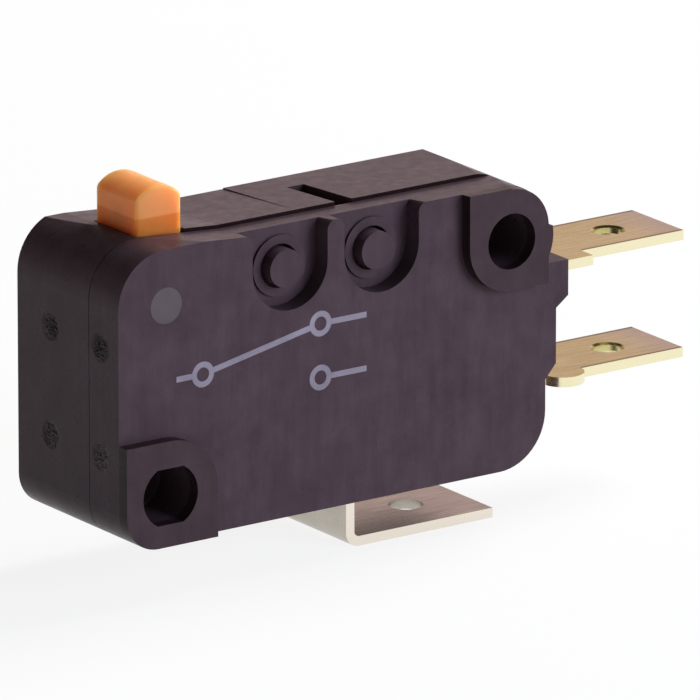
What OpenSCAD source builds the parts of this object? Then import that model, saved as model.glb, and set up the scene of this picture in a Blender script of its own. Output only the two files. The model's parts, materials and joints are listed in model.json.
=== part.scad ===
// Pin plunger snap action switch: a moulded housing in two halves, three blade terminals,
// and a lever and tension spring that throw a changeover contact.
// Millimetres, +Z up. The origin is on the axis of the lower mounting hole, midway through
// the housing. The plain front is at -Y, and the terminal tabs point to +X.

/* [Housing] */
// Distance between the mounting holes along the housing
hole_pitch_x = 22.2; // [21:0.1:25]
// Distance between the mounting holes up the housing
hole_pitch_z = 10.3; // [9.8:0.1:12]
// Diameter of the mounting holes
hole_d = 3.1; // [2.6:0.1:3.3]
// Extra width of the lower hole in the cover, which takes up pitch errors
hole_slack = 0.4; // [0.3:0.05:0.6]
// Hole axis to the nearest end, top and underside of the housing
edge = 2.8; // [2.7:0.1:3.4]
// Thickness of the housing over the raised bosses
thickness = 10.3; // [9.9:0.1:12]
// Depth of the cover, from its front face to the seam
cover_depth = 2.8; // [2.5:0.1:3]
// Groove left between the cover and the case
seam_gap = 0.05; // [0.03:0.01:0.15]
// Thickness of the end walls and the floor
wall = 1.3; // [1:0.1:1.5]
// Thickness of the top wall, which guides the plunger
top_wall = 1.5; // [1.3:0.1:1.7]
// Thickness of the cover's front wall
front_wall = 1.85; // [1.7:0.05:1.9]
// Thickness of the case's back wall
back_wall = 1.5; // [1.3:0.1:1.7]
// Wall round each mounting hole inside the housing
column_wall = 0.65; // [0.5:0.05:0.9]
// Radius of the upper corner over the plunger end
plunger_corner_r = 3; // [2.5:0.1:3.2]
// Radius of the lower corner at the plunger end
heel_corner_r = 2; // [1:0.1:2.6]
// Radius of the lower corner at the terminal end
toe_corner_r = 3; // [1.5:0.1:3.2]
// Radius of the corners inside the housing
cavity_r = 1.2; // [0.5:0.1:1.3]

/* [Housing details] */
// Height of the raised bosses round the mounting holes
boss_height = 0.75; // [0.4:0.05:1]
// Reach of the lower boss from its hole axis
lower_boss_reach = 3.05; // [2.6:0.05:3.4]
// Reach of the upper boss from its hole axis
upper_boss_reach = 2.75; // [2.6:0.05:3.1]
// Distance of the upper boss from the housing's end
boss_inset = 0.35; // [0:0.05:0.5]
// How far the cover's top lies below the housing's nominal top
cover_drop = 0.1; // [0:0.01:0.2]
// How far the case's top stands over the nominal top at the seam
case_lift = 0.1; // [0:0.01:0.2]
// Rise of the cover's top from the seam to its front face
cover_taper = 0.2; // [0:0.05:0.3]
// Fall of the case's top from the seam to the back
case_taper = 0.4; // [0:0.05:0.5]
// Rise of the housing's top to the corner at the plunger end
ramp_rise = 0.4; // [0.1:0.05:0.5]
// Place where that rise starts
ramp_x = 5.5; // [4.5:0.1:6.5]
// Extra fall at the back between the rise and the step
case_step = 0.06; // [0:0.01:0.2]
// Place of that step along the housing
case_step_x = 10.5; // [7:0.1:12]
// Place of the cross slot's middle, past the step
cross_slot_x = 3.15; // [2:0.05:6]
// Width of the cross slot in the case's top
cross_slot_w = 1.1; // [0.5:0.1:1.6]
// Length of the cross slot from the seam
cross_slot_len = 4.5; // [2:0.1:5]
// Depth of the cross slot
cross_slot_depth = 0.7; // [0.3:0.1:0.8]
// Diameter of the shallow dimples in the plunger end
dimple_d = 1.6; // [1:0.1:2]
// Depth of those dimples
dimple_depth = 0.1; // [0.05:0.05:0.3]
// Height of the lower dimples over the lower hole axis
dimple_z = 2.1; // [1:0.1:4]
// Height from the lower to the upper dimples
dimple_pitch_z = 6; // [4:0.1:7]
// Dimple axes in the cover, from the seam
cover_dimple_in = 1.1; // [1:0.05:1.8]
// Dimple axes in the case, from the seam
case_dimple_in = 3.65; // [2:0.05:5]

/* [Terminal end] */
// Reach of the upper block past the housing's end
upper_block_reach = 1.5; // [0.5:0.1:2.5]
// Upper block over the upper tab's top
upper_block_over = 0.4; // [0.2:0.05:0.8]
// Upper block under the upper tab
upper_block_under = 1.05; // [0.5:0.05:1.4]
// Reach of the lower block past the housing's end
lower_block_reach = 0.7; // [0.3:0.05:1.2]
// Slope between the two blocks, measured in height
block_slope = 0.6; // [0.3:0.05:1]
// Lower block's start over the lower tab's top
lower_block_over = 0.55; // [0.3:0.05:1]
// Slope under the lower block, measured in height
lower_block_slope = 0.8; // [0.3:0.05:1.2]

/* [Assembly posts] */
// Place of the first post from the lower hole axis
post_x = 8.25; // [7.8:0.05:8.6]
// Distance between the two posts
post_pitch = 5.95; // [5.6:0.05:7]
// Depth of the post axes under the case's top
post_depth = 2.2; // [2:0.05:2.4]
// Diameter of the post ends that show at the front
post_d = 2.1; // [1.6:0.1:2.3]
// Diameter of the posts inside the case
post_root_d = 2.4; // [2.3:0.05:2.5]
// Depth of the sockets in the back wall that the posts and the pivot pin are set in
socket_depth = 0.6; // [0.3:0.1:0.9]
// Radial gap between a post and its hole in the cover
post_gap = 0.17; // [0.05:0.01:0.3]
// How far the posts stand out of the recess floors
post_proud = 0.8; // [0.3:0.05:1]
// Width of the recesses round the posts
recess_w = 4.85; // [4.2:0.05:5.4]
// Height of the recess's round end over the post axis
recess_lift = 0.2; // [0:0.05:0.5]
// Depth of those recesses
recess_depth = 1.15; // [0.6:0.05:1.3]
// Rounding of the recesses' sides where they open at the top
recess_lip_r = 0.5; // [0.2:0.05:0.8]
// Outer diameter of the raised ring round each post
ring_d = 3.4; // [3:0.1:4]
// Height of that ring
ring_h = 0.15; // [0.05:0.05:0.3]

/* [Plunger] */
// Place of the plunger's middle from the lower hole axis
plunger_x = 1.82; // [1.8:0.02:2.3]
// Width of the plunger along the housing
plunger_w = 2.9; // [2.4:0.05:3]
// Depth of the plunger across the housing
plunger_d = 3.9; // [3:0.1:4.2]
// Height of the free plunger over the upper hole's axis
plunger_free = 5.65; // [5:0.05:6.5]
// Radius of the plunger's crown
crown_r = 1.9; // [1.7:0.05:3]
// Gap round the plunger in its slot
plunger_gap = 0.1; // [0.05:0.01:0.15]
// Plunger's full travel
travel = 2; // [1:0.1:2.2]
// Reach of the plunger's stop flange past its sides
flange_reach = 0.35; // [0.2:0.05:0.5]
// Height of that flange
flange_h = 1.2; // [0.8:0.1:1.4]
// Radius of the nose that pushes the lever
nose_r = 1; // [0.7:0.05:1.2]

/* [Terminals] */
// Thickness of the terminal sheet
sheet = 0.55; // [0.4:0.05:0.6]
// Width of the tabs
tab_w = 4.75; // [4:0.05:4.8]
// Reach of the tabs past the upper block
tab_reach = 9.2; // [7:0.1:11]
// Height from the lower tab to the upper tab
tab_pitch = 6.65; // [6.4:0.05:6.8]
// Diameter of the holes in the tabs
tab_hole_d = 1.65; // [1:0.05:2]
// Distance of those holes from the tab's tip
tab_hole_in = 3.35; // [2:0.05:5]
// Rounding at the rim of the tab holes
tab_hole_rim = 0.12; // [0.05:0.01:0.2]
// Width over the ears that stop a receptacle
ear_w = 6.9; // [5.4:0.1:7.4]
// Length of the upper tab's square ears
ear_len = 2.3; // [1.5:0.1:3]
// Radius of the lower tab's round ears
ear_r = 1.2; // [0.9:0.05:1.4]
// Width of the common terminal outside the housing
common_w = 6.35; // [5:0.05:7]
// Place of the common terminal's leg from the lower hole axis
common_x = 13; // [12.5:0.05:13.5]
// Depth of the common terminal's foot under the housing
common_drop = 2.95; // [2:0.05:4]
// Length of the foot from the leg's middle to its tip
foot_len = 9.4; // [7:0.1:11]
// Diameter of the hole in the foot
foot_hole_d = 1.9; // [1:0.1:2.4]
// Distance of that hole from the foot's tip
foot_hole_in = 3.5; // [2:0.1:5]
// Inner radius of the terminals' bends
bend_r = 0.3; // [0.15:0.05:0.5]

/* [Contacts and mechanism] */
// Place of the contacts from the lower hole axis
contact_x = 16.5; // [16:0.1:17]
// Diameter of the contact heads
contact_d = 2.4; // [1.8:0.1:2.6]
// Height of the contact heads
contact_h = 0.45; // [0.3:0.05:0.5]
// Diameter of the contact shanks
shank_d = 1.4; // [1:0.1:1.5]
// Height of the closed end of the fixed contacts' shanks
upset_h = 0.25; // [0.15:0.05:0.35]
// Thickness of the moving blade
blade_t = 0.22; // [0.15:0.01:0.3]
// Width of the moving blade
blade_w = 4.4; // [4:0.1:4.7]
// Width of the opening in the blade that the spring works in
blade_gap_w = 2.4; // [2.2:0.1:2.6]
// Angle that the blade is thrown through
blade_throw = 3.5; // [2:0.1:4]
// Place of the knife edge that the blade rocks on
knife_x = 6.2; // [6:0.05:6.5]
// Room left in the fork under the lever's hook at full travel
fork_room = 0.8; // [0.5:0.1:2]
// Place of the lever's pivot from the lower hole axis
pivot_x = 10; // [9.8:0.05:10.6]
// Diameter of the lever's pivot pin
pivot_d = 1.2; // [0.9:0.05:1.4]
// Radial gap between the pivot pin and the lever
pivot_gap = 0.06; // [0.02:0.01:0.1]
// Diameter of the lever's eye
eye_d = 2.2; // [2:0.05:2.4]
// Thickness of the lever
lever_t = 0.7; // [0.5:0.05:0.8]
// Width of the lever
lever_w = 3; // [2.4:0.1:3.4]
// Place of the lever's hook from the lower hole axis
hook_x = 4.8; // [4.6:0.05:4.9]
// Width of the hook
hook_w = 1; // [0.8:0.05:1.1]
// Thickness of the hook
hook_t = 0.6; // [0.4:0.05:0.8]
// Diameter of the spring's wire
wire_d = 0.3; // [0.2:0.02:0.34]
// Mean diameter of the spring's turns
coil_d = 1.3; // [1.1:0.05:1.4]
// Number of turns
coil_turns = 11; // [6:1:13]
// Height of the spring's axis over the blade
spring_lift = 0.33; // [0.2:0.01:0.4]
// Gap between a spring hook and its hole, all round
spring_gap = 0.15; // [0.08:0.01:0.2]

/* [Fits] */
// Gap between the terminal strips and the inside of the cover's front wall
strip_gap = 0.175; // [0.1:0.025:0.3]
// Gap round a terminal where it passes through a wall
slot_gap = 0.05; // [0.02:0.01:0.1]
// Gap between pieces that touch at rest
rest_gap = 0.05; // [0.03:0.01:0.08]
// Gap between a contact's head and the sheet that it is set in
seat_gap = 0.02; // [0.01:0.01:0.04]

/* [Hidden] */
$fn = 64;

// Overshoot of a cut past the face it opens
over = 0.5;

// Planes across the housing
back_y = thickness / 2;
boss_y = -thickness / 2;
front_y = boss_y + boss_height;
seam_y = front_y + cover_depth;
cover_back_y = seam_y - seam_gap;
cavity_front_y = front_y + front_wall;
cavity_back_y = back_y - back_wall;
strip_y = cavity_front_y + strip_gap + tab_w / 2;
recess_y = front_y + recess_depth;
socket_y = cavity_back_y + socket_depth;

// Ends, top and floor of the housing
heel_x = -edge;
end_x = hole_pitch_x + edge;
floor_z = -edge;
top_z = hole_pitch_z + edge;
cavity_floor_z = floor_z + wall;
cavity_top_z = top_z - top_wall;
column_r = hole_d / 2 + column_wall;
cover_top_z = top_z - cover_drop;
case_top_z = top_z + case_lift;
crest_x = heel_x + plunger_corner_r;
crest_z = cover_top_z + ramp_rise;

// Terminal levels, from the column of the upper hole down
upper_tab_top = hole_pitch_z - column_r - 2 * slot_gap;
upper_tab_z = upper_tab_top - sheet;
lower_tab_z = upper_tab_z - tab_pitch;
lower_tab_top = lower_tab_z + sheet;
block_end_x = end_x + upper_block_reach;
tip_x = block_end_x + tab_reach;
mean_bend_r = bend_r + sheet / 2;

// Contact stack, from the upper tab down to the blade and its knife edge
upper_face_z = upper_tab_z - seat_gap - contact_h;
blade_top = upper_face_z - rest_gap - contact_h - seat_gap;
blade_z = blade_top - blade_t;
knife_z = blade_z - rest_gap;
moving_under_z = blade_z - seat_gap - contact_h;
contact_tip_x = contact_x + contact_d / 2;
tip_drop = (contact_tip_x - knife_x) * sin(blade_throw);
thrown_z = knife_z - tip_drop + (moving_under_z - knife_z) * cos(blade_throw);
lower_face_z = thrown_z - rest_gap;
lower_seat_z = lower_face_z - contact_h - seat_gap;
contact_margin = 0.2;
plate_start_x = contact_x - contact_d / 2 - contact_margin;

// Common terminal's path
common_run_z = cavity_floor_z + mean_bend_r;
foot_mid_z = floor_z - common_drop + sheet / 2;
foot_tip_x = common_x + foot_len;

// Plunger and lever levels
plunger_front_y = seam_y + plunger_gap;
plunger_mid_y = plunger_front_y + plunger_d / 2;
plunger_top = hole_pitch_z + plunger_free;
flange_top = cavity_top_z - rest_gap;
flange_z = flange_top - flange_h;
lever_top = flange_z - nose_r - rest_gap;
pivot_z = lever_top - lever_t / 2;
lever_tip_x = plunger_x - nose_r - rest_gap;
hook_drop = travel * (pivot_x - hook_x) / (pivot_x - plunger_x);
post_z = top_z - post_depth;

// Spring axis, its hooks and its turns
spring_z = blade_top + spring_lift;
coil_r = coil_d / 2;
bridge_x = plate_start_x - 2 * wire_d - 4 * spring_gap;
spring_hole_r = wire_d / 2 + spring_gap;
spring_end_x = plate_start_x - spring_hole_r;
coil_start_x = knife_x + sheet / 2 + 2 * wire_d;
coil_end_x = bridge_x - wire_d;

// Carries a flat shape, drawn as length and height, from one depth to another
module along_y(from_y, to_y) {
    translate([0, to_y, 0])
        rotate([90, 0, 0])
            linear_extrude(to_y - from_y)
                children();
}

// Places a piece at the depth of the terminal strips' middle
module at_strips() {
    translate([0, strip_y, 0])
        children();
}

// What lies outside the round corner at a point, where sx and sz point into the shape
module corner_cut(x, z, sx, sz, r) {
    translate([x + sx * r, z + sz * r])
        difference() {
            translate([-sx * (r + over) / 2, -sz * (r + over) / 2])
                square(r + over, center = true);
            circle(r);
        }
}

// Outline that both halves of the housing share
module housing_outline() {
    upper_z = upper_tab_z - upper_block_under;
    lower_z = lower_tab_top + lower_block_over;
    lower_end_x = end_x + lower_block_reach;
    difference() {
        union() {
            translate([heel_x, floor_z])
                square([end_x - heel_x, crest_z - floor_z]);
            polygon([
                [end_x - wall, upper_tab_top + upper_block_over],
                [block_end_x, upper_tab_top + upper_block_over],
                [block_end_x, upper_z],
                [lower_end_x, upper_z - block_slope],
                [lower_end_x, lower_z + lower_block_slope],
                [end_x, lower_z],
                [end_x - wall, lower_z]
            ]);
        }
        corner_cut(heel_x, crest_z, 1, -1, plunger_corner_r);
        corner_cut(heel_x, floor_z, 1, 1, heel_corner_r);
        corner_cut(end_x, floor_z, -1, 1, toe_corner_r);
        corner_cut(end_x, case_top_z, -1, -1, edge);
    }
}

// Rise of the top at a place along the housing
function rise(x) = ramp_rise * max(0, min(1, (ramp_x - x) / (ramp_x - crest_x)));

// Space over the top between two places and two depths, where the top slopes down to the back
module over_top(x, y, seam_z, slope) {
    corners = [[x[0], y[0]], [x[1], y[0]], [x[1], y[1]], [x[0], y[1]]];
    low = [for (c = corners) [c[0], c[1], seam_z + rise(c[0]) - slope * (c[1] - seam_y)]];
    high = [for (c = corners) [c[0], c[1], crest_z + 2 * over]];
    polyhedron(
        concat(low, high),
        [[0, 1, 2, 3], [4, 5, 1, 0], [7, 6, 5, 4], [5, 6, 2, 1], [6, 7, 3, 2], [7, 4, 0, 3]]
    );
}

// What lies over the sloping top of the case
module over_case() {
    y = [seam_y - over, back_y + over];
    depth = back_y - seam_y;
    for (x = [[heel_x - over, crest_x], [crest_x, ramp_x], [ramp_x, case_step_x]])
        over_top(x, y, case_top_z, (case_taper + case_step) / depth);
    over_top([case_step_x, block_end_x], y, case_top_z, case_taper / depth);
}

// What lies over the sloping top of the cover
module over_cover() {
    y = [boss_y - over, seam_y];
    for (x = [[crest_x, ramp_x], [ramp_x, block_end_x]])
        over_top(x, y, cover_top_z, cover_taper / cover_depth);
}

// Space that the walls enclose
module cavity_outline() {
    x0 = heel_x + wall;
    x1 = end_x - wall;
    difference() {
        translate([x0, cavity_floor_z])
            square([x1 - x0, cavity_top_z - cavity_floor_z]);
        corner_cut(x0, cavity_top_z, 1, -1, cavity_r);
        corner_cut(x0, cavity_floor_z, 1, 1, cavity_r);
        corner_cut(x1, cavity_floor_z, -1, 1, cavity_r);
        corner_cut(x1, cavity_top_z, -1, -1, cavity_r);
    }
}

// Solid round the two mounting holes, filled out to the corner behind each
module column_outline() {
    circle(column_r);
    translate([heel_x + wall / 2, floor_z + wall / 2])
        square(edge - wall / 2);
    translate([hole_pitch_x, hole_pitch_z]) {
        circle(column_r);
        square(edge - wall / 2);
    }
}

// Raised boss, round at its upper right and square elsewhere, out to a distance on its left
module boss_outline(reach, left) {
    far = edge + over;
    circle(reach);
    translate([-left, -far])
        square([left + reach, far]);
    translate([-left, -far])
        square([left, far + reach]);
}

// Outlines of both bosses within the housing
module boss_outlines() {
    upper_left = edge - boss_inset;
    intersection() {
        housing_outline();
        union() {
            boss_outline(lower_boss_reach, edge + over);
            difference() {
                translate([hole_pitch_x, hole_pitch_z])
                    rotate(180)
                        boss_outline(upper_boss_reach, upper_left);
                corner_cut(hole_pitch_x + upper_left, case_top_z, -1, -1, upper_left);
            }
        }
    }
}

// Recess round a post, open at the top
module recess_outline() {
    translate([0, recess_lift])
        circle(recess_w / 2);
    translate([-recess_w / 2, recess_lift])
        square([recess_w, post_depth + over]);
    for (s = [-1, 1])
        corner_cut(s * recess_w / 2, cover_top_z + cover_taper - post_z, s, -1, recess_lip_r);
}

// Places of the two posts
module at_posts() {
    for (i = [0, 1])
        translate([post_x + i * post_pitch, 0, post_z])
            children();
}

// Round bar across the housing
module bar_y(d, from_y, to_y) {
    translate([0, to_y, 0])
        rotate([90, 0, 0])
            cylinder(d = d, h = to_y - from_y);
}

// Passages for the three terminals
module terminal_slots() {
    slot_w = tab_w + 2 * slot_gap;
    at_strips() {
        for (z = [upper_tab_z, lower_tab_z])
            translate([end_x - wall - over, -slot_w / 2, z - slot_gap])
                cube([wall + upper_block_reach + 2 * over, slot_w, sheet + 2 * slot_gap]);
        translate([common_x - sheet / 2 - slot_gap, -slot_w / 2, floor_z - over])
            cube([sheet + 2 * slot_gap, slot_w, wall + 2 * over]);
    }
}

// Shallow dimples in the plunger end, on an axis across the housing
module dimples(y) {
    for (i = [0, 1])
        translate([heel_x - over, y, dimple_z + i * dimple_pitch_z])
            rotate([0, 90, 0])
                cylinder(d = dimple_d, h = over + dimple_depth);
}

// Back half of the housing, with the hole columns and the sockets for the posts and the pivot pin
module case() {
    color("#2c2529")
        difference() {
            union() {
                difference() {
                    along_y(seam_y, back_y)
                        housing_outline();
                    along_y(seam_y - over, cavity_back_y)
                        cavity_outline();
                }
                along_y(seam_y, cavity_back_y + over)
                    intersection() {
                        housing_outline();
                        column_outline();
                    }
            }
            at_posts()
                bar_y(post_root_d + 2 * seat_gap, seam_y - over, socket_y);
            translate([pivot_x, 0, pivot_z])
                bar_y(pivot_d + 2 * seat_gap, seam_y - over, socket_y);
            for (at = [[0, 0], [hole_pitch_x, hole_pitch_z]])
                translate([at[0], 0, at[1]])
                    bar_y(hole_d, seam_y - over, back_y + over);
            along_y(seam_y - over, plunger_front_y + plunger_d + plunger_gap)
                translate([plunger_x - plunger_w / 2 - plunger_gap, cavity_top_z - over])
                    square([plunger_w + 2 * plunger_gap, top_wall + 2 * over]);
            along_y(seam_y - over, seam_y + cross_slot_len)
                translate([case_step_x + cross_slot_x - cross_slot_w / 2, top_z - cross_slot_depth])
                    square([cross_slot_w, cross_slot_depth + over]);
            over_case();
            terminal_slots();
            dimples(seam_y + case_dimple_in);
        }
}

// Front half of the housing, with the bosses and the recesses round the posts
module cover() {
    color("#322a30")
        difference() {
            union() {
                difference() {
                    along_y(front_y, cover_back_y)
                        housing_outline();
                    along_y(cavity_front_y, seam_y)
                        cavity_outline();
                    at_posts()
                        along_y(front_y - over, recess_y)
                            recess_outline();
                }
                along_y(cavity_front_y - over, cover_back_y)
                    intersection() {
                        housing_outline();
                        column_outline();
                    }
                along_y(boss_y, front_y + over)
                    boss_outlines();
                at_posts()
                    bar_y(ring_d, recess_y - ring_h, recess_y + over / 2);
            }
            along_y(boss_y - over, seam_y)
                intersection() {
                    circle(d = hole_d + hole_slack);
                    square([hole_d + hole_slack, hole_d], center = true);
                }
            translate([hole_pitch_x, 0, hole_pitch_z])
                bar_y(hole_d, boss_y - over, seam_y);
            at_posts() {
                bar_y(post_d + 2 * post_gap, front_y - over, seam_y);
                bar_y(post_root_d + 2 * post_gap, cavity_front_y, seam_y);
            }
            over_cover();
            terminal_slots();
            dimples(seam_y - cover_dimple_in);
        }
}

// Two posts set in the case, which pass through the cover and show in its recesses
module posts() {
    color("#322a30")
        at_posts() {
            bar_y(post_root_d, cavity_front_y + rest_gap, socket_y - seat_gap);
            bar_y(post_d, recess_y - post_proud, cavity_front_y + over);
        }
}

// Pin set in the case, which the lever turns on
module pivot_pin() {
    color("#a8abb0")
        translate([pivot_x, 0, pivot_z])
            bar_y(pivot_d, seam_y + rest_gap, socket_y - seat_gap);
}

// Plunger with a crowned head, a stop flange under the top wall and a round nose
module plunger() {
    crown_z = plunger_top - crown_r;
    color("#d9762b")
        translate([plunger_x, 0, 0]) {
            along_y(plunger_front_y, plunger_front_y + plunger_d)
                intersection() {
                    translate([-plunger_w / 2, flange_z])
                        square([plunger_w, plunger_top - flange_z]);
                    union() {
                        translate([0, crown_z])
                            circle(crown_r);
                        translate([-plunger_w / 2, flange_z])
                            square([plunger_w, crown_z - flange_z]);
                    }
                }
            along_y(plunger_front_y, plunger_front_y + plunger_d)
                translate([-plunger_w / 2 - flange_reach, flange_z])
                    square([plunger_w + 2 * flange_reach, flange_h]);
            along_y(plunger_mid_y - lever_w / 2, plunger_mid_y + lever_w / 2)
                translate([0, flange_z])
                    circle(nose_r);
        }
}

// Sheet between two points that lie level with or over each other
module run(p, q) {
    x = min(p[0], q[0]) - (p[0] == q[0] ? sheet / 2 : 0);
    z = min(p[1], q[1]) - (p[1] == q[1] ? sheet / 2 : 0);
    translate([x, z])
        square([p[0] == q[0] ? sheet : abs(p[0] - q[0]), p[1] == q[1] ? sheet : abs(p[1] - q[1])]);
}

// Quarter bend of the sheet about a centre, on the side that sx and sz point to
module bend(x, z, sx, sz) {
    size = mean_bend_r + sheet;
    translate([x, z])
        intersection() {
            difference() {
                circle(mean_bend_r + sheet / 2);
                circle(mean_bend_r - sheet / 2);
            }
            translate([sx * size / 2, sz * size / 2])
                square(size, center = true);
        }
}

// Side view of the common terminal: foot, leg, run along the floor and upright
module common_outline() {
    r = mean_bend_r;
    run([common_x + r, foot_mid_z], [foot_tip_x, foot_mid_z]);
    bend(common_x + r, foot_mid_z + r, -1, -1);
    run([common_x, foot_mid_z + r], [common_x, common_run_z - r]);
    bend(common_x - r, common_run_z - r, 1, 1);
    run([knife_x + r, common_run_z], [common_x - r, common_run_z]);
    bend(knife_x + r, common_run_z + r, -1, -1);
    run([knife_x, common_run_z + r], [knife_x, knife_z - sheet / 2]);
    polygon([
        [knife_x - sheet / 2, knife_z - sheet / 2],
        [knife_x + sheet / 2, knife_z - sheet / 2],
        [knife_x, knife_z]
    ]);
}

// Common terminal: a bent strip whose upright is a fork that the blade rocks on
module common_terminal() {
    low_z = floor_z - slot_gap;
    slot_z = spring_z - hook_w / 2 - hook_drop - fork_room;
    color("#b9b3a6")
        at_strips()
            difference() {
                union() {
                    along_y(-tab_w / 2, tab_w / 2)
                        common_outline();
                    along_y(-common_w / 2, common_w / 2)
                        intersection() {
                            common_outline();
                            translate([common_x - sheet, foot_mid_z - sheet])
                                square([foot_len + 2 * sheet, low_z - foot_mid_z + sheet]);
                        }
                }
                translate([knife_x - sheet, -blade_gap_w / 2, slot_z])
                    cube([2 * sheet, blade_gap_w, knife_z - slot_z + over]);
                translate([foot_tip_x - foot_hole_in, 0, foot_mid_z - sheet])
                    cylinder(d = foot_hole_d, h = 2 * sheet);
            }
}

// Hole through a tab with both rims rounded off
module tab_hole(z) {
    translate([tip_x - tab_hole_in, 0, z]) {
        translate([0, 0, -over])
            cylinder(d = tab_hole_d, h = sheet + 2 * over);
        translate([0, 0, sheet - tab_hole_rim])
            cylinder(d1 = tab_hole_d, d2 = tab_hole_d + 2 * tab_hole_rim, h = tab_hole_rim);
        cylinder(d1 = tab_hole_d + 2 * tab_hole_rim, d2 = tab_hole_d, h = tab_hole_rim);
    }
}

// Hole for the shank of a contact
module shank_hole(z) {
    translate([contact_x, 0, z - over])
        cylinder(d = shank_d + 2 * seat_gap, h = sheet + 2 * over);
}

// Upper terminal, which the blade touches at rest: a flat strip with square ears
module upper_terminal() {
    color("#b89a5a")
        at_strips()
            difference() {
                union() {
                    translate([plate_start_x, -tab_w / 2, upper_tab_z])
                        cube([tip_x - plate_start_x, tab_w, sheet]);
                    translate([block_end_x + slot_gap, -ear_w / 2, upper_tab_z])
                        cube([ear_len, ear_w, sheet]);
                }
                tab_hole(upper_tab_z);
                shank_hole(upper_tab_z);
            }
}

// Lower terminal, which the blade is thrown onto: a strip set up inside, with round ears
module lower_terminal() {
    r = mean_bend_r;
    riser_x = end_x - wall - r;
    plate_mid_z = lower_seat_z - sheet / 2;
    tab_mid_z = lower_tab_z + sheet / 2;
    ear_x = block_end_x + ear_r;
    color("#b89a5a")
        at_strips()
            difference() {
                union() {
                    along_y(-tab_w / 2, tab_w / 2) {
                        run([plate_start_x, plate_mid_z], [riser_x - r, plate_mid_z]);
                        bend(riser_x - r, plate_mid_z - r, 1, 1);
                        run([riser_x, tab_mid_z + r], [riser_x, plate_mid_z - r]);
                        bend(riser_x + r, tab_mid_z + r, -1, -1);
                        run([riser_x + r, tab_mid_z], [tip_x, tab_mid_z]);
                    }
                    for (s = [-1, 1])
                        translate([ear_x, s * (ear_w / 2 - ear_r), lower_tab_z])
                            cylinder(r = ear_r, h = sheet);
                }
                tab_hole(lower_tab_z);
                shank_hole(lower_seat_z - sheet);
            }
}

// Fixed contact: a head, a shank through the sheet and the closed end behind it, facing up
module fixed_contact() {
    back_z = -seat_gap - sheet - seat_gap;
    rotate_extrude()
        polygon([
            [0, contact_h], [contact_d / 2, contact_h], [contact_d / 2, 0], [shank_d / 2, 0],
            [shank_d / 2, back_z], [shank_d / 2 + upset_h, back_z], [shank_d / 2, back_z - upset_h],
            [0, back_z - upset_h]
        ]);
}

// Contact of the upper terminal, facing down
module upper_contact() {
    color("#d8d8d4")
        at_strips()
            translate([contact_x, 0, upper_tab_z - seat_gap])
                mirror([0, 0, 1])
                    fixed_contact();
}

// Contact of the lower terminal, facing up
module lower_contact() {
    color("#d8d8d4")
        at_strips()
            translate([contact_x, 0, lower_seat_z + seat_gap])
                fixed_contact();
}

// Contact on the blade, with a head on both sides
module moving_contact() {
    color("#d8d8d4")
        at_strips()
            translate([contact_x, 0, 0]) {
                translate([0, 0, moving_under_z])
                    cylinder(d = contact_d, h = contact_h);
                translate([0, 0, moving_under_z])
                    cylinder(d = shank_d, h = blade_top - moving_under_z + contact_h);
                translate([0, 0, blade_top + seat_gap])
                    cylinder(d = contact_d, h = contact_h);
            }
}

// Moving blade: two legs that rock on the knife edge, joined at the contact end
module moving_blade() {
    start_x = knife_x - sheet;
    color("#c9a24e")
        at_strips()
            difference() {
                translate([start_x, -blade_w / 2, blade_z])
                    cube([contact_tip_x + contact_margin - start_x, blade_w, blade_t]);
                translate([start_x - over, -blade_gap_w / 2, blade_z - over])
                    cube([bridge_x - start_x + over, blade_gap_w, blade_t + 2 * over]);
                translate([contact_x, 0, blade_z - over])
                    cylinder(d = shank_d + 2 * seat_gap, h = blade_t + 2 * over);
                translate([spring_end_x, coil_r, blade_z - over])
                    cylinder(r = spring_hole_r, h = blade_t + 2 * over);
            }
}

// Lever: an eye on the pivot pin, an arm under the plunger and a hook for the spring
module lever() {
    color("#cfc8b8")
        difference() {
            union() {
                along_y(plunger_mid_y - lever_w / 2, plunger_mid_y + lever_w / 2) {
                    translate([lever_tip_x, pivot_z - lever_t / 2])
                        square([pivot_x - lever_tip_x, lever_t]);
                    translate([pivot_x, pivot_z])
                        circle(d = eye_d);
                }
                along_y(strip_y - hook_t / 2, strip_y + hook_t / 2) {
                    translate([hook_x - hook_w / 2, spring_z])
                        square([hook_w, pivot_z - spring_z]);
                    translate([hook_x, spring_z])
                        circle(d = hook_w);
                }
            }
            translate([pivot_x, 0, pivot_z])
                bar_y(pivot_d + 2 * pivot_gap, seam_y, back_y);
            translate([hook_x, 0, spring_z])
                bar_y(2 * spring_hole_r, strip_y - hook_t, strip_y + hook_t);
        }
}

// Points along the spring's wire: a hook, the turns and the other hook
turn_steps = 14;
wire_sides = 6;
turn_pitch = (coil_end_x - coil_start_x) / coil_turns;
hook_points = [
    [hook_x, -hook_t / 2 - wire_d, spring_z],
    [hook_x, coil_r - wire_d, spring_z],
    [hook_x + wire_d * 0.3, coil_r - wire_d * 0.3, spring_z],
    [hook_x + wire_d, coil_r, spring_z]
];
turn_points = [
    for (i = [0 : coil_turns * turn_steps])
        let (a = 360 * i / turn_steps)
        [coil_start_x + turn_pitch * i / turn_steps, coil_r * cos(a), spring_z + coil_r * sin(a)]
];
end_points = [
    [spring_end_x - wire_d, coil_r, spring_z],
    [spring_end_x - wire_d * 0.3, coil_r, spring_z - wire_d * 0.3],
    [spring_end_x, coil_r, spring_z - wire_d],
    [spring_end_x, coil_r, blade_z - wire_d]
];
wire_points = concat(hook_points, turn_points, end_points);

function unit(v) = v / norm(v);
function tangent(p, i) = unit(p[min(i + 1, len(p) - 1)] - p[max(i - 1, 0)]);
function carried(n, t) = unit(n - (n * t) * t);

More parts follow.
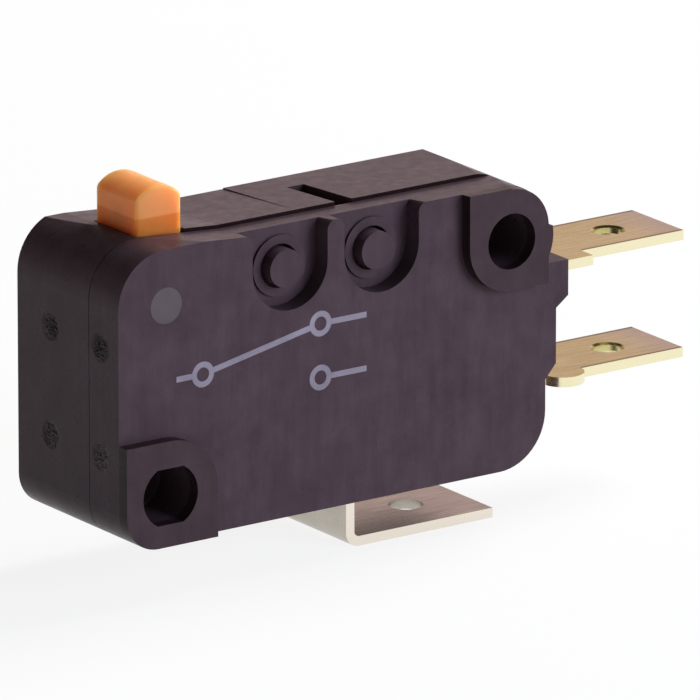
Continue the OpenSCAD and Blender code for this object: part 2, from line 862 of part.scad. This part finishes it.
// Tension spring, as a wire of even section swept along its points
module coil_spring() {
    count = len(wire_points);
    normals = [
        for (i = 0, n = carried([0, 0, 1], tangent(wire_points, 0)); i < count;
             i = i + 1, n = i < count ? carried(n, tangent(wire_points, i)) : n)
            n
    ];
    rings = [
        for (i = [0 : count - 1])
            let (t = tangent(wire_points, i), b = cross(t, normals[i]))
            for (k = [0 : wire_sides - 1])
                let (a = 360 * k / wire_sides)
                wire_points[i] + wire_d / 2 * (cos(a) * normals[i] + sin(a) * b)
    ];
    sides = [
        for (i = [0 : count - 2], k = [0 : wire_sides - 1])
            let (a = i * wire_sides + k, b = i * wire_sides + (k + 1) % wire_sides)
            [a, a + wire_sides, b + wire_sides, b]
    ];
    first = [for (k = [0 : wire_sides - 1]) k];
    last = [for (k = [0 : wire_sides - 1]) count * wire_sides - 1 - k];
    color("#a8abb0")
        at_strips()
            polyhedron(rings, concat(sides, [first, last]));
}

case();
cover();
posts();
pivot_pin();
plunger();
common_terminal();
upper_terminal();
lower_terminal();
upper_contact();
lower_contact();
moving_blade();
moving_contact();
lever();
coil_spring();
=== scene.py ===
"""Looks of a pin plunger micro switch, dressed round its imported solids."""

import json
import math

import bmesh
import bpy
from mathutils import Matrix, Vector, noise


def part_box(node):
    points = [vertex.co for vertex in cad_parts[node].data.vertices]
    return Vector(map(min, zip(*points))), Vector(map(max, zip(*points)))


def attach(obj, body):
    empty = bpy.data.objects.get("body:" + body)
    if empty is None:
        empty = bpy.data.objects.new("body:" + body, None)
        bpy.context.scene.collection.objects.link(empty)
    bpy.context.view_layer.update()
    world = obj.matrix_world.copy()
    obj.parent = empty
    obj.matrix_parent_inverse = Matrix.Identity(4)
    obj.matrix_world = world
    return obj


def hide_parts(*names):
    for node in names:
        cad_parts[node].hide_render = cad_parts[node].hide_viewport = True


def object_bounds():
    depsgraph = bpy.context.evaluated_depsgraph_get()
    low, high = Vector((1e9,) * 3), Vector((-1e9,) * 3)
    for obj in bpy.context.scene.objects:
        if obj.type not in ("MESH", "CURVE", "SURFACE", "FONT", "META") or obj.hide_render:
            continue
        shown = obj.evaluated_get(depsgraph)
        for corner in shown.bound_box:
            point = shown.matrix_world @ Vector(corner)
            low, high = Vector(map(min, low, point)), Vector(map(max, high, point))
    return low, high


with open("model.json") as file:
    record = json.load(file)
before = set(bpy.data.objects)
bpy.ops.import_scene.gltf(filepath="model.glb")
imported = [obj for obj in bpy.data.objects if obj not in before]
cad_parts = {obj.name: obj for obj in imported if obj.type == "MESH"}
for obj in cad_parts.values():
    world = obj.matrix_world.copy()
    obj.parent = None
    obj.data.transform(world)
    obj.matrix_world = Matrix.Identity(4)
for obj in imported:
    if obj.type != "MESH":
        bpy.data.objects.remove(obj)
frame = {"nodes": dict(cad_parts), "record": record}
cad_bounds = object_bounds()

MM = 0.001
WELD_DISTANCE = 0.001 * MM

# Camera, fitted to the photograph: angles in degrees, clip range in metres
IMAGE_PX = 700
FOCAL_PX = 14091
SENSOR_MM = 36
CAMERA_AZIMUTH = -35.08
CAMERA_ELEVATION = 16.85
CAMERA_DISTANCE = 757.2 * MM
CAMERA_TARGET = Vector((15.11, -0.15, 4.22)) * MM
CAMERA_CLIP = (0.01, 10)

# Lamps: name, azimuth and elevation in degrees, distance and size in metres, watts, colour
SOFTBOXES = [
    ("front", 25, 16, 0.4, 0.25, 1.6, (0.72, 0.83, 1.0)),
    ("top", 100, 46, 0.6, 0.35, 3.9, (1, 1, 1)),
]

# Sky by the height of a direction: pale round the horizon and dim overhead.
# It is stronger on the right, and metal mirrors it with no less than a given strength.
SKY = [
    (0.0, (0.86, 0.67, 0.65)),
    (0.34, (0.76, 0.57, 0.55)),
    (0.52, (0.06, 0.06, 0.06)),
    (1.0, (0.06, 0.06, 0.06)),
]
SKY_SIDES = (0.1, 1.45)
SKY_MIRRORED = 0.75

# Floor: reach from its middle in metres, and how much of it shows as plain white
FLOOR_REACH = 3.0
FLOOR_COLOUR = (0.85, 0.85, 0.85, 1)
FLOOR_WHITE = 0.86

# Textures: features to the millimetre, alike all round or along X, Y and Z
CLOUDS = 0.55
GLOSS = 1.6
FINE_GRAIN = 11.0
FLOW_LINES = (1.2, 1.2, 0.25)
STREAKS = (2.4, 2.4, 0.3)
STAINS = 0.35
PITS = 14.0
STRIP_LINES = (0.4, 9.0, 9.0)
SILVER_LINES = (3.0, 3.0, 3.0)
WIRE_LINES = (6.0, 6.0, 6.0)

# Flow lines' depth in depths of the grain, and the depths in metal
FLOW_DEPTH = 4
PIT_DEPTH = 0.002 * MM
LINE_DEPTH = 0.003 * MM

# Ranges that hold most values of a noise
NOISE_SPAN = (0.3, 0.7)
STAIN_SPAN = (0.32, 0.68)

# Sockets of a Mix node that belong to its colours
MIX_FACTOR, MIX_FIRST, MIX_SECOND, MIX_RESULT = 0, 6, 7, 2

# In the tints below, LEVEL, FADE, FROM and START are ranges of a place in millimetres, and REACH
# is one of the distance from the seam. TURN is a range of how squarely a face looks along an
# axis. Each runs from no effect to the full one.

# Housing: faint streaks, darker bosses with dark walls that are painted shade, and the case's
# dark rim at the seam, painted shade of the gap there
STREAK_SHADE = (0.84, 0.85, 0.84)
BOSS_LEVEL = (-4.6, -4.9)
BOSS_SHADE = (0.82, 0.80, 0.75)
# The bosses' side walls are darkened as painted shade.
WALL_LEVEL = (-4.38, -4.46)
WALL_TURN = (0.6, 0.3)
WALL_PAINTED_SHADE = (0.45, 0.42, 0.40)
SEAM_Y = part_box("case")[0].y / MM
# The case's face at the seam is darkened as painted shade of the gap between case and cover.
RIM_REACH = (0.04, 0.01)
RIM_LEVEL = (12.3, 12.6)
RIM_TURN = (0.5, 0.8)
SEAM_PAINTED_SHADE = (0.30, 0.22, 0.20)

# Plunger: deeper in colour below its top, which is left pale as a painted reflection, and lighter
# on its sides and crown as painted light
# Below this level the colour is deepened, which leaves the top pale as a painted reflection.
GLARE_LEVEL = (14.36, 14.2)
BELOW_GLARE_SHADE = (0.86, 0.66, 0.36)
# Sides and crown are lightened as painted light.
SIDE_TURN = (0.85, 0.4)
SIDE_PAINTED_LIGHT = (1.28, 1.28, 1.08)

# Brass tabs: tips that fade to a painted reflection, pale cut edges clear of the holes that are a
# painted highlight, and dark lines at rolled-over edges that are a painted reflection
# Fade towards the tips: a painted reflection.
TAB_FADE = (32.0, 36.5)
TIP_PAINTED_REFLECTION = (0.535, 0.475, 0.40)
# Pale cut edges: a painted highlight.
CUT_FROM = (1.4, 1.6)
CUT_TURN = (0.75, 0.45)
CUT_PAINTED_HIGHLIGHT = (0.91, 0.85, 0.57)
# Dark lines at rolled-over edges: a painted reflection.
ROLL_FROM = (2.1, 2.22)
ROLL_START = (28.85, 29.0)
ROLL_TURN = (0.75, 0.9)
ROLL_PAINTED_REFLECTION = (0.36, 0.29, 0.24)

# Plated strip: pale cut edges, a painted highlight
STRIP_CUT_FROM = (2.6, 2.8)
STRIP_CUT_TURN = (0.45, 0.75)
STRIP_PAINTED_HIGHLIGHT = (0.88, 0.81, 0.71)

# Rounded edges of the posts and of the small pieces inside, by node
MOULD_EDGE = 0.05 * MM
SMALL_EDGE = 0.03 * MM
EDGES = {
    "posts": MOULD_EDGE,
    "pivot_pin": SMALL_EDGE,
    "lever": SMALL_EDGE,
    "moving_blade": SMALL_EDGE,
    "upper_contact": SMALL_EDGE,
    "lower_contact": SMALL_EDGE,
    "moving_contact": SMALL_EDGE,
}
EDGE_SEGMENTS = 3
EDGE_ANGLE = 32

# Printed marks on the front face, in millimetres along the part's X and Z
BOSS_HEIGHT = 0.75
INK_HEIGHT = 0.012
INK_LINE = 0.32
DOT_AT = (0.26, 10.3)
DOT_RADIUS = 1.0
DOT_STEPS = 32
TERMINAL_RADIUS = 0.55
RING_STEPS = 64
COMMON_AT = (2.6, 6.1)
CLOSED_AT = (10.2, 7.6)
OPEN_AT = (10.2, 4.6)
LEAD_ENDS = (0.9, 13.2)

# Rough gate marks in the end's dimples, in millimetres: places along Y and Z, form,
# and the noise of their relief as a middle and (height, features to the millimetre)
MARK_PLACES = [(y, z) for y in (2.05, -2.7) for z in (2.1, 8.1)]
MARK_FLOOR = 0.1
MARK_RELIEF = 0.097
MARK_RADIUS = 0.79
MARK_RINGS = 12
MARK_SPOKES = 48
MARK_RIM_POWER = 8
MARK_MIDDLE = 0.6
MARK_NOISE = ((1.1, 6.5), (0.5, 15))

# Plunger in millimetres: upright edges, crown and its edge, flange, and nose under the flange
PIN_WIDTH = 2.9
PIN_CORNER = 0.22
LEAST_CORNER = 0.01
CROWN_RADIUS = 1.9
CROWN_EDGE = 0.18
CROWN_RIDGE = 0.03
FLANGE_CORNER = 0.12
FLANGE_STEP = 0.005
FLANGE_LEVELS = (10.35, 11.55)
NOSE_RADIUS = 0.997
NOSE_INSET = 0.45
NOSE_OVERLAP = 0.05
ROUND_STEPS = 8
SIDE_STEPS = 14
SMOOTH_ANGLE = 35


# Shader nodes

def add(tree, kind, values=None, **settings):
    """A new shader node, with its sockets' values and its own settings."""
    node = tree.nodes.new("ShaderNode" + kind)
    for name, value in settings.items():
        setattr(node, name, value)
    for name, value in (values or {}).items():
        node.inputs[name].default_value = value
    return node


def calculate(tree, operation, first, second):
    """Two factors worked into one; the second is a socket or a number."""
    node = add(tree, "Math", operation=operation)
    tree.links.new(first, node.inputs[0])
    if isinstance(second, float):
        node.inputs[1].default_value = second
    else:
        tree.links.new(second, node.inputs[1])
    return node.outputs[0]


def product(tree, factor, *others):
    """The product of some factors."""
    for other in others:
        factor = calculate(tree, "MULTIPLY", factor, other)
    return factor


def part_space(tree):
    """Coordinates fixed to the piece, in millimetres."""
    scale = add(tree, "VectorMath", {"Scale": 1 / MM}, operation="SCALE")
    tree.links.new(add(tree, "TexCoord").outputs["Object"], scale.inputs[0])
    return scale.outputs["Vector"]


def either_way(tree, vector):
    """The vector with its parts' signs left out."""
    size = add(tree, "VectorMath", operation="ABSOLUTE")
    tree.links.new(vector, size.inputs[0])
    return size.outputs["Vector"]


def along_axis(tree, vector, axis, start, end):
    """How far the vector's part along one axis has come between two values, from 0 to 1."""
    parts = add(tree, "SeparateXYZ")
    tree.links.new(vector, parts.inputs[0])
    node = add(tree, "MapRange", {"From Min": start, "From Max": end},
               interpolation_type="SMOOTHSTEP")
    tree.links.new(parts.outputs[axis], node.inputs["Value"])
    return node.outputs["Result"]


def facing(tree, axis, start, end):
    """How squarely a face looks along an axis of its piece, either way, between two values."""
    normal = add(tree, "TexCoord").outputs["Normal"]
    return along_axis(tree, either_way(tree, normal), axis, start, end)


def grain(tree, space, per_mm, detail, roughness=0.55):
    """Noise of some features to the millimetre, alike all round or by axis."""
    if isinstance(per_mm, tuple):
        mapping = add(tree, "Mapping", {"Scale": per_mm})
        tree.links.new(space, mapping.inputs["Vector"])
        space, per_mm = mapping.outputs["Vector"], 1.0
    node = add(tree, "TexNoise", {"Scale": per_mm, "Detail": detail, "Roughness": roughness})
    tree.links.new(space, node.inputs["Vector"])
    return node.outputs["Fac"]


def spread(tree, factor, low, high, span=NOISE_SPAN):
    """A factor's span laid over a range of values."""
    node = add(tree, "MapRange", {"From Min": span[0], "From Max": span[1],
                                  "To Min": low, "To Max": high})
    tree.links.new(factor, node.inputs["Value"])
    return node.outputs["Result"]


def ramp(tree, factor, stops):
    """Colours along a factor, given as (place, linear colour) pairs."""
    node = add(tree, "ValToRGB")
    while len(node.color_ramp.elements) < len(stops):
        node.color_ramp.elements.new(0.5)
    for element, (place, colour) in zip(node.color_ramp.elements, stops):
        element.position = place
        element.color = (*colour, 1.0)
    tree.links.new(factor, node.inputs["Fac"])
    return node.outputs["Color"]


def blend(tree, factor, first, second, how="MIX"):
    """One colour, a socket, turned into another, a linear colour, by a factor."""
    node = add(tree, "Mix", data_type="RGBA", blend_type=how)
    tree.links.new(factor, node.inputs[MIX_FACTOR])
    tree.links.new(first, node.inputs[MIX_FIRST])
    node.inputs[MIX_SECOND].default_value = (*second, 1.0)
    return node.outputs[MIX_RESULT]


def shaded(tree, factor, colour, shade):
    """A colour, multiplied by a shade as far as a factor says."""
    return blend(tree, factor, colour, shade, "MULTIPLY")


def bump(tree, height, distance, strength, under=None):
    """Relief of a given depth, laid over another relief if there is one."""
    node = add(tree, "Bump", {"Strength": strength, "Distance": distance})
    tree.links.new(height, node.inputs["Height"])
    if under is not None:
        tree.links.new(under, node.inputs["Normal"])
    return node.outputs["Normal"]


# Materials

def surface(name, **constants):
    """A new material, its node tree and its shader, with the shader's constant values set."""
    material = bpy.data.materials.new(name)
    material.use_nodes = True
    shader = material.node_tree.nodes["Principled BSDF"]
    for constant, value in constants.items():
        socket = constant.replace("_", " ").title().replace("Ior", "IOR")
        shader.inputs[socket].default_value = value
    return material, material.node_tree, shader


def paint(tree, shader, space, clouds, stops, tint):
    """The base colour: clouded between stops, then changed by a tint if there is one."""
    colour = ramp(tree, grain(tree, space, clouds, detail=5.0, roughness=0.6), stops)
    if tint is not None:
        colour = tint(tree, space, colour)
    tree.links.new(colour, shader.inputs["Base Color"])


def moulded(name, dark, light, rough, depth, tint=None, **constants):
    """Moulded plastic: clouded colour, uneven gloss and a fine grain over faint flow lines."""
    material, tree, shader = surface(name, **constants)
    space = part_space(tree)
    paint(tree, shader, space, CLOUDS, list(zip(NOISE_SPAN, (dark, light))), tint)
    gloss = spread(tree, grain(tree, space, GLOSS, detail=3.0), *rough)
    tree.links.new(gloss, shader.inputs["Roughness"])
    flow = grain(tree, space, FLOW_LINES, detail=2.0)
    fine = grain(tree, space, FINE_GRAIN, detail=3.0)
    relief = bump(tree, flow, FLOW_DEPTH * depth, strength=0.25)
    relief = bump(tree, fine, depth, strength=0.6, under=relief)
    tree.links.new(relief, shader.inputs["Normal"])
    return material


def rolled(name, dark, light, rough, along, tint=None):
    """Rolled sheet metal: faint lines along the strip, stains and a soft gloss."""
    material, tree, shader = surface(name, metallic=1.0)
    space = part_space(tree)
    paint(tree, shader, space, STAINS, list(zip(STAIN_SPAN, (dark, light))), tint)
    lines = grain(tree, space, along, detail=3.0)
    tree.links.new(spread(tree, lines, *rough), shader.inputs["Roughness"])
    pits = grain(tree, space, PITS, detail=2.0)
    relief = bump(tree, pits, PIT_DEPTH, strength=0.5)
    relief = bump(tree, lines, LINE_DEPTH, strength=0.5, under=relief)
    tree.links.new(relief, shader.inputs["Normal"])
    return material


def housing_tint(tree, space, colour):
    """The housing's colour with faint streaks, darker bosses, painted shade on the bosses' walls
    and on the case's rim at the seam.
    """
    streaks = spread(tree, grain(tree, space, STREAKS, detail=4.0, roughness=0.6), 0.0, 1.0)
    colour = shaded(tree, streaks, colour, STREAK_SHADE)
    colour = shaded(tree, along_axis(tree, space, "Y", *BOSS_LEVEL), colour, BOSS_SHADE)
    # Painted shade on the bosses' side walls
    wall_shade = product(tree, along_axis(tree, space, "Y", *WALL_LEVEL), facing(tree, "Y", *WALL_TURN))
    colour = shaded(tree, wall_shade, colour, WALL_PAINTED_SHADE)
    # Painted shade of the seam's gap on the case's rim
    outer, inner = RIM_REACH
    rim = product(tree, along_axis(tree, space, "Y", SEAM_Y - outer, SEAM_Y - inner),
                  along_axis(tree, space, "Y", SEAM_Y + outer, SEAM_Y + inner),
                  along_axis(tree, space, "Z", *RIM_LEVEL), facing(tree, "Y", *RIM_TURN))
    return shaded(tree, rim, colour, SEAM_PAINTED_SHADE)


def plunger_tint(tree, space, colour):
    """The plunger's colour, deeper below a top left pale as a painted reflection, and lighter on
    its sides and crown as painted light.
    """
    # Painted reflection: the top stays pale above the deeper colour below
    colour = shaded(tree, along_axis(tree, space, "Z", *GLARE_LEVEL), colour, BELOW_GLARE_SHADE)
    # Painted light on the sides and crown
    return shaded(tree, facing(tree, "Y", *SIDE_TURN), colour, SIDE_PAINTED_LIGHT)


def tab_tint(tree, space, colour):
    """The tabs' brass with painted reflections and highlights: a fade at the tips, pale cut edges
    and dark lines where they roll over.
    """
    aside = either_way(tree, space)
    # Painted reflection fading in towards the tips
    colour = blend(tree, along_axis(tree, space, "X", *TAB_FADE), colour, TIP_PAINTED_REFLECTION)
    # Painted highlight on the cut edges
    cut = product(tree, facing(tree, "Z", *CUT_TURN), along_axis(tree, aside, "Y", *CUT_FROM))
    colour = blend(tree, cut, colour, CUT_PAINTED_HIGHLIGHT)
    # Painted dark reflection along the rolled-over edges
    roll = product(tree, along_axis(tree, aside, "Y", *ROLL_FROM),
                   along_axis(tree, space, "X", *ROLL_START), facing(tree, "Z", *ROLL_TURN))
    return shaded(tree, roll, colour, ROLL_PAINTED_REFLECTION)


def strip_tint(tree, space, colour):
    """The plated strip with pale cut edges, a painted highlight."""
    aside = either_way(tree, space)
    # Painted highlight on the cut edges
    cut = product(tree, facing(tree, "Y", *STRIP_CUT_TURN),
                  along_axis(tree, aside, "Y", *STRIP_CUT_FROM))
    return blend(tree, cut, colour, STRIP_PAINTED_HIGHLIGHT)


# Finishes by the record's material slot, and those of the added pieces
MATERIALS = {
    "housing": moulded(
        "housing_plastic", (0.0505, 0.0325, 0.0410), (0.0677, 0.0452, 0.0558),
        rough=(0.26, 0.36), depth=0.005 * MM, tint=housing_tint, specular_ior_level=0.07),
    "plunger": moulded(
        "plunger_plastic", (0.65, 0.265, 0.085), (0.73, 0.305, 0.105),
        rough=(0.34, 0.44), depth=0.003 * MM, tint=plunger_tint, specular_ior_level=0.3,
        subsurface_weight=1.0, subsurface_radius=(1.0, 0.7, 0.5), subsurface_scale=2.5 * MM),
    "lever": moulded(
        "lever_plastic", (0.62, 0.57, 0.47), (0.70, 0.66, 0.56),
        rough=(0.36, 0.48), depth=0.004 * MM),
    "plated_strip": rolled(
        "plated_strip", (0.46, 0.425, 0.37), (0.54, 0.505, 0.445),
        rough=(0.24, 0.36), along=STRIP_LINES, tint=strip_tint),
    "brass_strip": rolled(
        "brass_strip", (0.585, 0.515, 0.215), (0.69, 0.615, 0.285),
        rough=(0.20, 0.32), along=STRIP_LINES, tint=tab_tint),
    "contact_silver": rolled(
        "contact_silver", (0.72, 0.72, 0.70), (0.86, 0.86, 0.84),
        rough=(0.2, 0.32), along=SILVER_LINES),
    "spring_wire": rolled(
        "spring_wire", (0.50, 0.51, 0.53), (0.62, 0.63, 0.66),
        rough=(0.2, 0.34), along=WIRE_LINES),
}
GATE = moulded(
    "gate_plastic", (0.012, 0.009, 0.009), (0.075, 0.060, 0.062),
    rough=(0.5, 0.62), depth=0.012 * MM, specular_ior_level=0.15)
DOT_INK = moulded(
    "dot_ink", (0.056, 0.042, 0.050), (0.071, 0.054, 0.063),
    rough=(0.42, 0.55), depth=0.004 * MM)
LINE_INK = moulded(
    "line_ink", (0.150, 0.130, 0.165), (0.215, 0.190, 0.235),
    rough=(0.42, 0.55), depth=0.004 * MM)


# Pieces

def dress_nodes():
    """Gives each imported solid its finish, and rounds the sharp edges of the small ones."""
    for entry in frame["record"]["subparts"]:
        node = frame["nodes"][entry["node"]]
        node.data.materials.clear()
        node.data.materials.append(MATERIALS[entry["material_slot"]])
        if entry["node"] not in EDGES:
            continue
        weld = node.modifiers.new("weld", "WELD")
        weld.merge_threshold = WELD_DISTANCE
        edge = node.modifiers.new("edge", "BEVEL")
        edge.width = EDGES[entry["node"]]
        edge.segments = EDGE_SEGMENTS
        edge.limit_method = "ANGLE"
        edge.angle_limit = math.radians(EDGE_ANGLE)
        edge.miter_outer = "MITER_ARC"
        edge.harden_normals = True


def new_object(mesh, name, material):
    """A new object from a bmesh, with its material."""
    data = bpy.data.meshes.new(name)
    mesh.to_mesh(data)
    mesh.free()
    data.materials.append(material)
    thing = bpy.data.objects.new(name, data)
    bpy.context.scene.collection.objects.link(thing)
    return thing


def new_piece(mesh, name, material, body):
    """A new piece of a body from a bmesh, with its material."""
    bmesh.ops.recalc_face_normals(mesh, faces=mesh.faces)
    piece = new_object(mesh, name, material)
    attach(piece, body)
    return piece


def skin(mesh, rings, closed=False):
    """Faces between rings with as many points each; the ends are capped, or joined if closed."""
    if closed:
        rings = rings + rings[:1]
    else:
        mesh.faces.new(rings[0])
        mesh.faces.new(rings[-1])
    for near, far in zip(rings, rings[1:]):
        for k in range(len(near)):
            n = (k + 1) % len(near)
            mesh.faces.new((near[k], near[n], far[n], far[k]))


def arc(centre, radius, start, end, steps):
    """Points along an arc about a centre, between two angles in degrees."""
    angles = [math.radians(start + (end - start) * i / steps) for i in range(steps + 1)]
    return [(centre[0] + radius * math.cos(a), centre[1] + radius * math.sin(a)) for a in angles]


def circle(centre, radius, steps):
    """Points round a circle."""
    return arc(centre, radius, 0, 360, steps)[:-1]


def line(start, end):
    """Outline of a printed line between two points."""
    start, end = Vector(start), Vector(end)
    way = (end - start).normalized() * INK_LINE / 2
    aside = Vector((-way.y, way.x))
    return [start + aside, start - aside, end - aside, end + aside]


def inked(mesh, outline, height):
    """New points of an outline at a height over the front face."""
    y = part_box("cover")[0].y + (BOSS_HEIGHT - height) * MM
    return [mesh.verts.new((x * MM, y, z * MM)) for x, z in outline]


def printed_dot():
    """The plain dot, as thin raised ink."""
    mesh = bmesh.new()
    dot = circle(DOT_AT, DOT_RADIUS, DOT_STEPS)
    skin(mesh, [inked(mesh, dot, height) for height in (0, INK_HEIGHT)])
    new_piece(mesh, "printed_dot", DOT_INK, "housing")


def printed_symbol():
    """The plain symbol of a changeover contact, as thin raised ink."""
    mesh = bmesh.new()
    reach = TERMINAL_RADIUS + INK_LINE / 2
    for centre in (COMMON_AT, CLOSED_AT, OPEN_AT):
        outer = circle(centre, reach, RING_STEPS)
        inner = circle(centre, reach - INK_LINE, RING_STEPS)
        skin(mesh, [inked(mesh, outline, height) for outline, height in (
            (outer, 0), (outer, INK_HEIGHT), (inner, INK_HEIGHT), (inner, 0))], closed=True)
    way = (Vector(CLOSED_AT) - Vector(COMMON_AT)).normalized() * reach
    lines = [
        line((LEAD_ENDS[0], COMMON_AT[1]), (COMMON_AT[0] - reach, COMMON_AT[1])),
        line((CLOSED_AT[0] + reach, CLOSED_AT[1]), (LEAD_ENDS[1], CLOSED_AT[1])),
        line((OPEN_AT[0] + reach, OPEN_AT[1]), (LEAD_ENDS[1], OPEN_AT[1])),
        line(Vector(COMMON_AT) + way, Vector(CLOSED_AT) - way),
    ]
    for outline in lines:
        skin(mesh, [inked(mesh, outline, height) for height in (0, INK_HEIGHT)])
    new_piece(mesh, "printed_symbol", LINE_INK, "housing")


def broken(y, z):
    """Height of the broken plastic at a point, from 0 to 1."""
    place = Vector((y, z, 0))
    waves = sum(height * noise.noise(place * per_mm) for height, per_mm in MARK_NOISE)
    return max(0, min(1, MARK_MIDDLE + waves))


def gate_marks():
    """Rough broken plastic in the dimples of the plunger end, flush with it at the rim."""
    floor_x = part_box("case")[0].x / MM + MARK_FLOOR
    mesh = bmesh.new()
    for centre in MARK_PLACES:
        rings = []
        for i in range(1, MARK_RINGS + 1):
            flush = (i / MARK_RINGS) ** MARK_RIM_POWER
            points = []
            for y, z in circle(centre, MARK_RADIUS * i / MARK_RINGS, MARK_SPOKES):
                height = MARK_RELIEF * (flush + (1 - flush) * broken(y, z))
                points.append(mesh.verts.new(Vector((floor_x - height, y, z)) * MM))
            rings.append(points)
        rings.append([mesh.verts.new((floor_x * MM, *point.co.yz)) for point in rings[-1]])
        skin(mesh, rings)
    new_piece(mesh, "gate_marks", GATE, "housing")


def round_rectangle(half_x, half_y, radius):
    """Points round a rectangle with rounded corners, as many for any size."""
    corners = []
    for turn, (sx, sy) in enumerate(((1, -1), (1, 1), (-1, 1), (-1, -1))):
        centre = (sx * (half_x - radius), sy * (half_y - radius))
        corners.append(arc(centre, radius, 90 * turn - 90, 90 * turn, ROUND_STEPS))
    points = []
    for corner, after in zip(corners, corners[1:] + corners[:1]):
        (x0, y0), (x1, y1) = corner[-1], after[0]
        points += corner + [(x0 + (x1 - x0) * k / SIDE_STEPS, y0 + (y1 - y0) * k / SIDE_STEPS)
                            for k in range(1, SIDE_STEPS)]
    return points


def plunger_pin():
    """The plunger with rounded upright edges and a crown whose edge is rounded too."""
    low, high = (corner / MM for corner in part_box("plunger"))
    middle = (low + high) / 2
    flange_x, flange_y = (high.x - low.x) / 2, (high.y - low.y) / 2
    half_x, half_y = PIN_WIDTH / 2, flange_y - FLANGE_STEP
    bottom, top = FLANGE_LEVELS
    mesh = bmesh.new()
    rings = []

    def level(x, y, radius, height):
        rings.append([mesh.verts.new(Vector((middle.x + px, middle.y + py, height(px))) * MM)
                      for px, py in round_rectangle(x, y, radius)])

    def crown(inset, drop):
        level(half_x - inset, half_y - inset, max(PIN_CORNER - inset, LEAST_CORNER),
              lambda x: high.z - CROWN_RADIUS + math.sqrt(CROWN_RADIUS ** 2 - x ** 2) - drop)

    level(flange_x, flange_y, FLANGE_CORNER, lambda x: bottom)
    level(flange_x, flange_y, FLANGE_CORNER, lambda x: top)
    level(half_x, half_y, PIN_CORNER, lambda x: top)
    for k in range(ROUND_STEPS + 1):
        a = math.pi / 2 * k / ROUND_STEPS
        crown(CROWN_EDGE * (1 - math.cos(a)), CROWN_EDGE * (1 - math.sin(a)))
    for k in range(1, ROUND_STEPS + 1):
        crown(CROWN_EDGE + (half_x - CROWN_EDGE - CROWN_RIDGE) * k / ROUND_STEPS, 0)
    skin(mesh, rings)

    nose = arc((middle.x, bottom), NOSE_RADIUS, 180, 360, 2 * ROUND_STEPS)
    nose += [(x, bottom + NOSE_OVERLAP) for x, _ in (nose[-1], nose[0])]
    skin(mesh, [[mesh.verts.new(Vector((x, y, z)) * MM) for x, z in nose]
                for y in (low.y + NOSE_INSET, high.y - NOSE_INSET)])

    for face in mesh.faces:
        face.smooth = True
    pin = new_piece(mesh, "plunger_pin", MATERIALS["plunger"], "plunger")
    pin.data.set_sharp_from_angle(angle=math.radians(SMOOTH_ANGLE))
    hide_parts("plunger")


# Studio

def aimed(name, data, azimuth, elevation, distance):
    """A camera or lamp that looks at the part from an azimuth and elevation in degrees."""
    a, e = math.radians(azimuth), math.radians(elevation)
    back = Vector((math.sin(a) * math.cos(e), -math.cos(a) * math.cos(e), math.sin(e)))
    thing = bpy.data.objects.new(name, data)
    thing.location = CAMERA_TARGET + back * distance
    thing.rotation_euler = back.to_track_quat("Z", "Y").to_euler()
    bpy.context.scene.collection.objects.link(thing)
    return thing


def camera():
    """The photograph's viewpoint."""
    data = bpy.data.cameras.new("camera")
    data.sensor_width = SENSOR_MM
    data.lens = FOCAL_PX / IMAGE_PX * SENSOR_MM
    data.clip_start, data.clip_end = CAMERA_CLIP
    bpy.context.scene.camera = aimed("camera", data, CAMERA_AZIMUTH, CAMERA_ELEVATION,
                                     CAMERA_DISTANCE)


def floor_paper():
    """White paper that takes a faint shadow where it is seen, and is matte to other light."""
    paper = bpy.data.materials.new("floor_paper")
    paper.use_nodes = True
    tree = paper.node_tree
    tree.nodes.clear()
    rays = add(tree, "LightPath").outputs
    seen = calculate(tree, "MAXIMUM", rays["Is Camera Ray"], rays["Is Glossy Ray"])
    seen = calculate(tree, "MAXIMUM", seen, rays["Is Transmission Ray"])
    matte = add(tree, "BsdfDiffuse", {"Color": FLOOR_COLOUR})
    white = add(tree, "Emission", {"Color": (1, 1, 1, 1), "Strength": 1.0})
    mix = add(tree, "MixShader")
    tree.links.new(calculate(tree, "MULTIPLY", seen, FLOOR_WHITE), mix.inputs["Fac"])
    tree.links.new(matte.outputs[0], mix.inputs[1])
    tree.links.new(white.outputs[0], mix.inputs[2])
    tree.links.new(mix.outputs[0], add(tree, "OutputMaterial").inputs["Surface"])
    return paper


def lay_floor():
    """The floor that the part's lowest point stands on."""
    mesh = bmesh.new()
    bmesh.ops.create_grid(mesh, x_segments=1, y_segments=1, size=FLOOR_REACH)
    floor = new_object(mesh, "floor", floor_paper())
    floor.location.z = cad_bounds[0][2]


def softbox(name, azimuth, elevation, distance, size, power, colour):
    """A soft round lamp, left out of mirrored light so that metal doesn't clip to white."""
    lamp = bpy.data.lights.new(name, "AREA")
    lamp.shape = "DISK"
    lamp.size = size
    lamp.energy = power
    lamp.color = colour
    aimed(name, lamp, azimuth, elevation, distance).visible_glossy = False


def sky():
    """The sky's light, which metal mirrors too."""
    world = bpy.data.worlds.new("studio")
    bpy.context.scene.world = world
    world.use_nodes = True
    tree = world.node_tree
    way = add(tree, "SeparateXYZ")
    tree.links.new(add(tree, "TexCoord").outputs["Generated"], way.inputs[0])
    side = spread(tree, way.outputs["X"], *SKY_SIDES, span=(-1.0, 1.0))
    glossy = add(tree, "LightPath").outputs["Is Glossy Ray"]
    mirrored = calculate(tree, "MULTIPLY", glossy, SKY_MIRRORED)
    background = tree.nodes["Background"].inputs
    tree.links.new(ramp(tree, way.outputs["Z"], SKY), background["Color"])
    tree.links.new(calculate(tree, "MAXIMUM", side, mirrored), background["Strength"])


camera()
lay_floor()
for box in SOFTBOXES:
    softbox(*box)
sky()
dress_nodes()
printed_dot()
printed_symbol()
gate_marks()
plunger_pin()
bpy.context.scene.view_settings.view_transform = "Standard"
